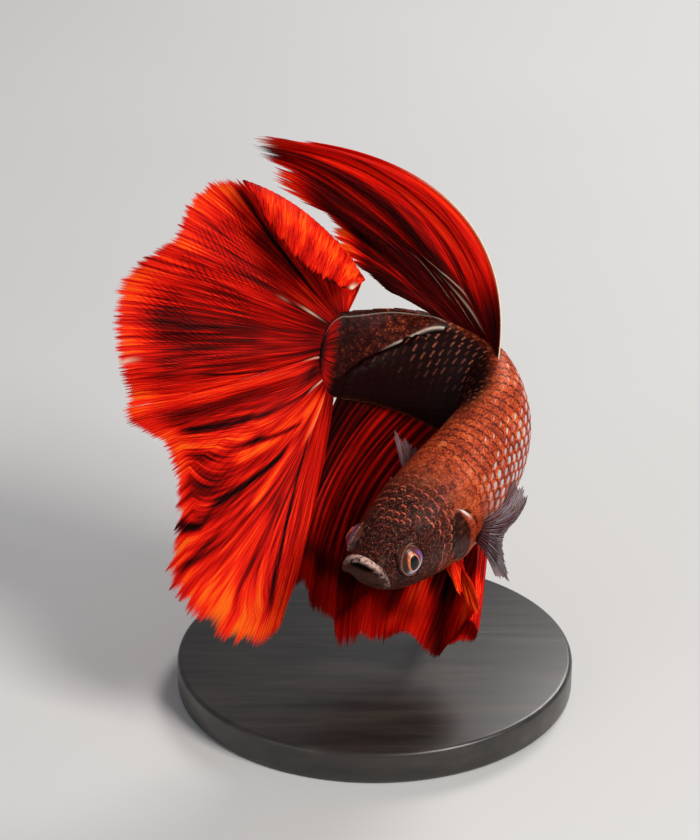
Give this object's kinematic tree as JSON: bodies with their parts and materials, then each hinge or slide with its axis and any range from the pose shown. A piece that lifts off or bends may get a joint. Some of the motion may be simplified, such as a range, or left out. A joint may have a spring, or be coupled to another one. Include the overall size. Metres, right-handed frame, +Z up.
{
  "type": "betta fish model",
  "caption": "Life-size male betta fish with long flowing fins, its body curled hard to one side, held on a plain round stand by a short rod.",
  "frame": {"origin": "centre of the underside of the stand's base", "axes": "+Z up; -Y towards the front, the side that the head faces; +X to the right as seen from the front"},
  "size_m": [0.0548, 0.0486, 0.0628],
  "materials": {
    "skin": "Red-brown scaled skin with a satin gloss, grey-brown on the head",
    "eyes": "Clear domed eyes with a copper iris and a black pupil",
    "fins": "Thin saturated red membrane with fine branching rays and orange edges",
    "pectoral_fins": "Thin brown-mauve membrane, half clear, with pale rays",
    "stand_wood": "Black-stained turned wood, satin",
    "stand_metal": "Brushed steel rod"
  },
  "bodies": {
    "root": {"head": "skin", "lip_upper": "skin", "jaw_lower": "skin", "gill_cover_left": "skin", "gill_cover_right": "skin", "trunk_front": "skin", "trunk_middle": "skin", "trunk_rear": "skin", "peduncle": "skin", "eye_left": "eyes", "eye_right": "eyes", "pectoral_left": "pectoral_fins", "pectoral_right": "pectoral_fins", "pelvic_left": "fins", "pelvic_right": "fins", "dorsal_fin": "fins", "tail_fin_upper": "fins", "tail_fin_lower": "fins", "tail_fin_curl": "fins", "anal_fin_front": "fins", "anal_fin_middle": "fins", "anal_fin_rear": "fins", "stand_base": "stand_wood", "stand_rod": "stand_metal"}
  },
  "joints": []
}
